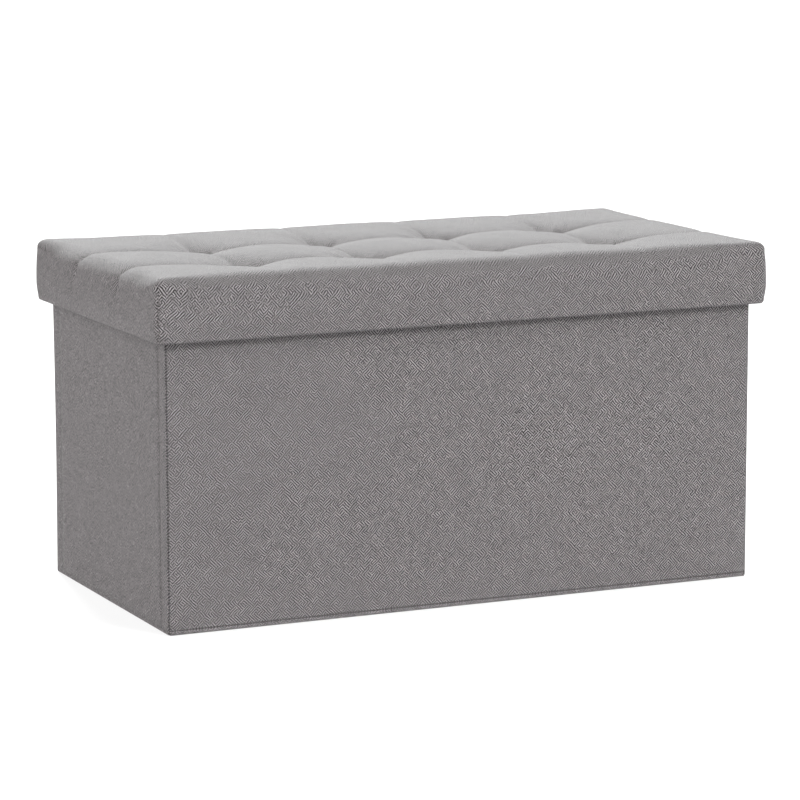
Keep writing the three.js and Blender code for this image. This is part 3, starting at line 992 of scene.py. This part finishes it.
def end_hems(side, name, around):
    """The hems under one end, each on the body above it."""
    split, stop = 0.3 * MM, INNER_Y - 0.4 * MM
    hems = (
        ("front_corner", "front_wall", -FLAT_Y, END_START, 6),
        ("front_end", name + "_front_end", END_START, CREASE_Y - split, 18),
        ("rear_end", name + "_rear_end", CREASE_Y + split, stop, 18),
        ("rear_corner", "rear_wall", stop, FLAT_Y, 5),
    )
    for part, body, low, high, count in hems[:4 if side < 0 else 3]:
        ways = [straight(1, side, np.linspace(low, high, count))]
        if part == "front_corner":
            ways.insert(0, arc(side, -1, *around))
        elif part == "rear_corner":
            ways.append(arc(side, 1, 180, 135))
        hem = cloth_piece(f"{name}_{part}_hem", Path(*ways), hem_profile(), body, seed=7)
        if part != "front_corner":
            fold_away(hem)


def ends():
    """The two ends: strips round the corners, main pieces with their points close together at the crease,
    hems and linings.
    """
    outside, inside = face_profile(CLOTH_FOOT, False), lining_profile(CLOTH_FOOT)
    first = -WALL_Y + STRIP
    for side, name in ((-1, "left"), (1, "right")):
        front_half, rear_half = name + "_front_end", name + "_rear_end"
        last = FLAT_Y - (STRIP - ROUND) if side < 0 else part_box("right_rear_end_fabric")[1].y + 0.2 * MM
        around = (225, 180) if side < 0 else (-45, 0)
        corner = Path(arc(side, -1, *around), straight(1, side, np.linspace(-FLAT_Y, first, 22)),
                      start=0.0 if side < 0 else 0.74, direction=side)
        end_piece(name + "_front_corner_fabric", corner, outside,
                  [f"front_{name}_corner_binding"], 4)
        main = Path(straight(1, side, end_stops(first, last)), start=corner.end, direction=side)
        end_piece(name + "_end_fabric", main, outside,
                  [front_half + "_fabric", rear_half + "_fabric"], 5)
        if side < 0:
            back = Path(straight(1, side, np.linspace(last, FLAT_Y, 14)), arc(side, 1, 180, 135),
                        start=main.end, direction=side)
            end_piece("left_rear_corner_fabric", back, outside,
                      ["rear_left_corner_binding"], 6)
        end_hems(side, name, around)
        inner_corner = Path(straight(1, side, np.linspace(-INNER_Y - 0.2 * MM, first, 20)),
                            start=5.0, direction=side)
        end_piece(name + "_front_corner_lining", inner_corner, inside,
                  (), 8, True)
        inner_end = Path(straight(1, side, end_stops(first, INNER_Y - 0.5 * MM)),
                         start=inner_corner.end, direction=side)
        end_piece(name + "_end_lining", inner_end, inside,
                  [front_half + "_lining", rear_half + "_lining"], 9, True)


def wall_stitches():
    """The stitches down each sewn corner of the box."""
    pitch = 4.6 * MM
    for side_y, wall in ((-1, "front"), (1, "rear")):
        for side_x, name in ((-1, "left"), (1, "right")):
            lines = []
            for level in np.arange(FRONT_FOOT + 4 * MM, WALL_TOP - 4 * MM, pitch):
                share = np.linspace(-1, 1, 6)
                bow = END_BOW * math.sin(math.pi * level / WALL_TOP) * (side_y > 0 and side_x < 0)
                out = (ROUND - 0.75 * MM) / math.sqrt(2) + (0.22 - 0.4 * share ** 4) * MM
                x, y = side_x * (FLAT_X + out) + bow, side_y * (FLAT_Y + out)
                lines.append(points(x, y, level + 1.4 * MM * share))
            sew(f"{wall}_{name}_corner_stitches", lines, 0.26 * MM, wall + "_wall", 5)


front_and_rear()
ends()
wall_stitches()

# ---------------- the base flap


def base_sheet(name, top, node):
    """One face of the flap's cloth, turned over the edges of its board to half its thickness."""
    low, high = BASE_LOW - Vector((0.5 * MM, 0, 0)), BASE_HIGH + Vector((0.5 * MM, 2.8 * MM, 0))
    lip = 0.25 * MM
    level = BASE_TOP - 0.04 * MM if top else BASE_LOW.z + 0.06 * MM
    middle = (BASE_TOP + BASE_LOW.z) / 2
    xs, ys = (np.concatenate([[a + lip], np.linspace(a + 1.2 * MM, b - 1.2 * MM, count), [b - lip]])
              for a, b, count in ((low.x, high.x, 60), (low.y, high.y, 32)))
    x, y = np.meshgrid(xs, ys, indexing="ij")
    inset = np.minimum(high.x - np.abs(x), high.y - y)
    sag = 0.12 * MM * (ripple(x, y, 90 * MM, 41) - 1) * ease(inset / (20 * MM))
    z = level + (sag if top else 0)
    edge = (np.abs(x) > high.x - 0.5 * MM) | (y > high.y - 0.5 * MM) | (y < low.y + 0.5 * MM)
    lower = level + (-0.5 if top else 0.5) * MM
    grids = [(points(x, y, np.where(edge, lower, z)), points(x, y))]
    for axis, stops, limits in ((1, xs, (low.y + lip, high.y - lip)), (0, ys, (low.x + lip, high.x - lip))):
        for limit in limits:
            heights = np.linspace(lower, middle, 4)[:, None]
            past = limit + np.sign(limit) * np.abs(heights - level)
            grids.append((beside(axis, limit, stops, heights), beside(axis, past, stops)))
    piece = join_grids(name, grids, inside=(0, 0, middle))
    finish_piece(piece, LINING, "base_flap", [node])


def pull_ribbon():
    """A flat loop of ribbon sewn to the flap's free edge, with a crossed box of stitches."""
    half, start, end = RIBBON_HIGH.x, RIBBON_LOW.y, RIBBON_HIGH.y
    xs = np.linspace(-half, half, 13)
    upper = BASE_TOP + 0.10 * MM
    rise = [(end - 0.8 * MM, BASE_TOP - 0.02 * MM), (end - 2 * MM, BASE_TOP)]
    rise += [(start + 6 * MM, BASE_TOP), (start + 1 * MM, BASE_TOP), (start, BASE_TOP + 0.05 * MM)]
    rise += [(start + 1 * MM, upper), (start + 6 * MM, upper)]
    rise += [(y, upper) for y in np.linspace(start + 10 * MM, end - 1.5 * MM, 12)]
    rise.append((end - 0.9 * MM, upper - 0.02 * MM))
    line = np.array(rise)
    gone = distances(line)
    bend = 0.03 * MM * np.cos(np.linspace(-math.pi, math.pi, 13))
    grid = points(xs, line[:, :1], line[:, 1:] + bend), points(xs, gone[:, None])
    ribbon = join_grids("base_ribbon_loop", [grid], inside=(0, (start + end) / 2, 0))
    finish_piece(ribbon, RIBBON, "base_flap", ["base_pull_ribbon"])
    box_low, box_high, side = end - 20 * MM, end - 4 * MM, half - 3 * MM
    signs = ((-1, 0), (1, 0), (1, 1), (-1, 1), (-1, 0), (1, 1), (-1, 1), (1, 0))
    corners = [(side * x, (box_low, box_high)[y]) for x, y in signs]
    lines = []
    for (x0, y0), (x1, y1) in zip(corners, corners[1:]):
        count = round(math.hypot(x1 - x0, y1 - y0) / (2.2 * MM))
        for k in range(count):
            share = (k + np.linspace(0.12, 0.88, 5)) / count
            lift = 0.03 * MM * np.sin(np.linspace(0, math.pi, 5))
            lines.append(points(x0 + (x1 - x0) * share, y0 + (y1 - y0) * share, upper + lift))
    sew("base_ribbon_stitches", lines, 0.1 * MM, "base_flap", 5)


base_sheet("base_top_sheet", True, "base_top_cover")
base_sheet("base_underside_sheet", False, "base_underside_cover")
pull_ribbon()

# the frame's own boards and rails show where no piece replaces them
for name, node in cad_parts.items():
    if name.endswith(("_board", "_rail")):
        node.data.materials.clear()
        node.data.materials.append(BOARD)

# ---------------- camera, light and floor

# A long lens, with its place and turn fitted to 13 corners of the bench in the photograph.
eye = bpy.data.cameras.new("camera")
eye.lens, eye.sensor_width, eye.clip_end = 161.35, 36.0, 60.0
camera = linked("camera", eye)
camera.location = (-1.744, -3.808, 0.918)
LEVEL, HEADING, ROLL = math.radians(80.405), math.radians(-24.613), math.radians(-0.111)
turned = Euler((LEVEL, 0, HEADING)).to_matrix() @ Matrix.Rotation(ROLL, 3, "Z")
camera.rotation_euler = turned.to_euler()
bpy.context.scene.camera = camera

floor_form = bmesh.new()
bmesh.ops.create_circle(floor_form, cap_ends=True, segments=96, radius=24)
floor = form_piece("floor", floor_form)
floor.location.z = cad_low.z - 0.4 * MM
floor.data.materials.append(pale_floor("pale_floor"))

world = bpy.data.worlds.new("studio")
world.use_nodes = True
world.node_tree.nodes["Background"].inputs["Color"].default_value = (1.0, 1.0, 1.0, 1.0)
world.node_tree.nodes["Background"].inputs["Strength"].default_value = 0.35
bpy.context.scene.world = world


def sun(name, bearing, height, spread, strength, colour=(1.0, 1.0, 1.0)):
    """Soft light from a bearing (to the right of the front) and a height, both in degrees."""
    light = bpy.data.lights.new(name, "SUN")
    light.energy, light.angle, light.color = strength, math.radians(spread), colour
    turn, rise = math.radians(bearing), math.radians(height)
    ray = Vector((-math.sin(turn) * math.cos(rise), math.cos(turn) * math.cos(rise), -math.sin(rise)))
    linked(name, light).rotation_euler = ray.to_track_quat("-Z", "Y").to_euler()


sun("overhead", 164, 35, 16, 6.5, (0.96, 1.0, 0.99))
sun("key", 28, 31, 13, 2.22)
sun("ceiling", 28, 60, 16, 0.75)
sun("fill", -80, 12, 90, 2.7, (1.0, 0.965, 0.95))

bpy.context.scene.view_settings.view_transform = "Standard"
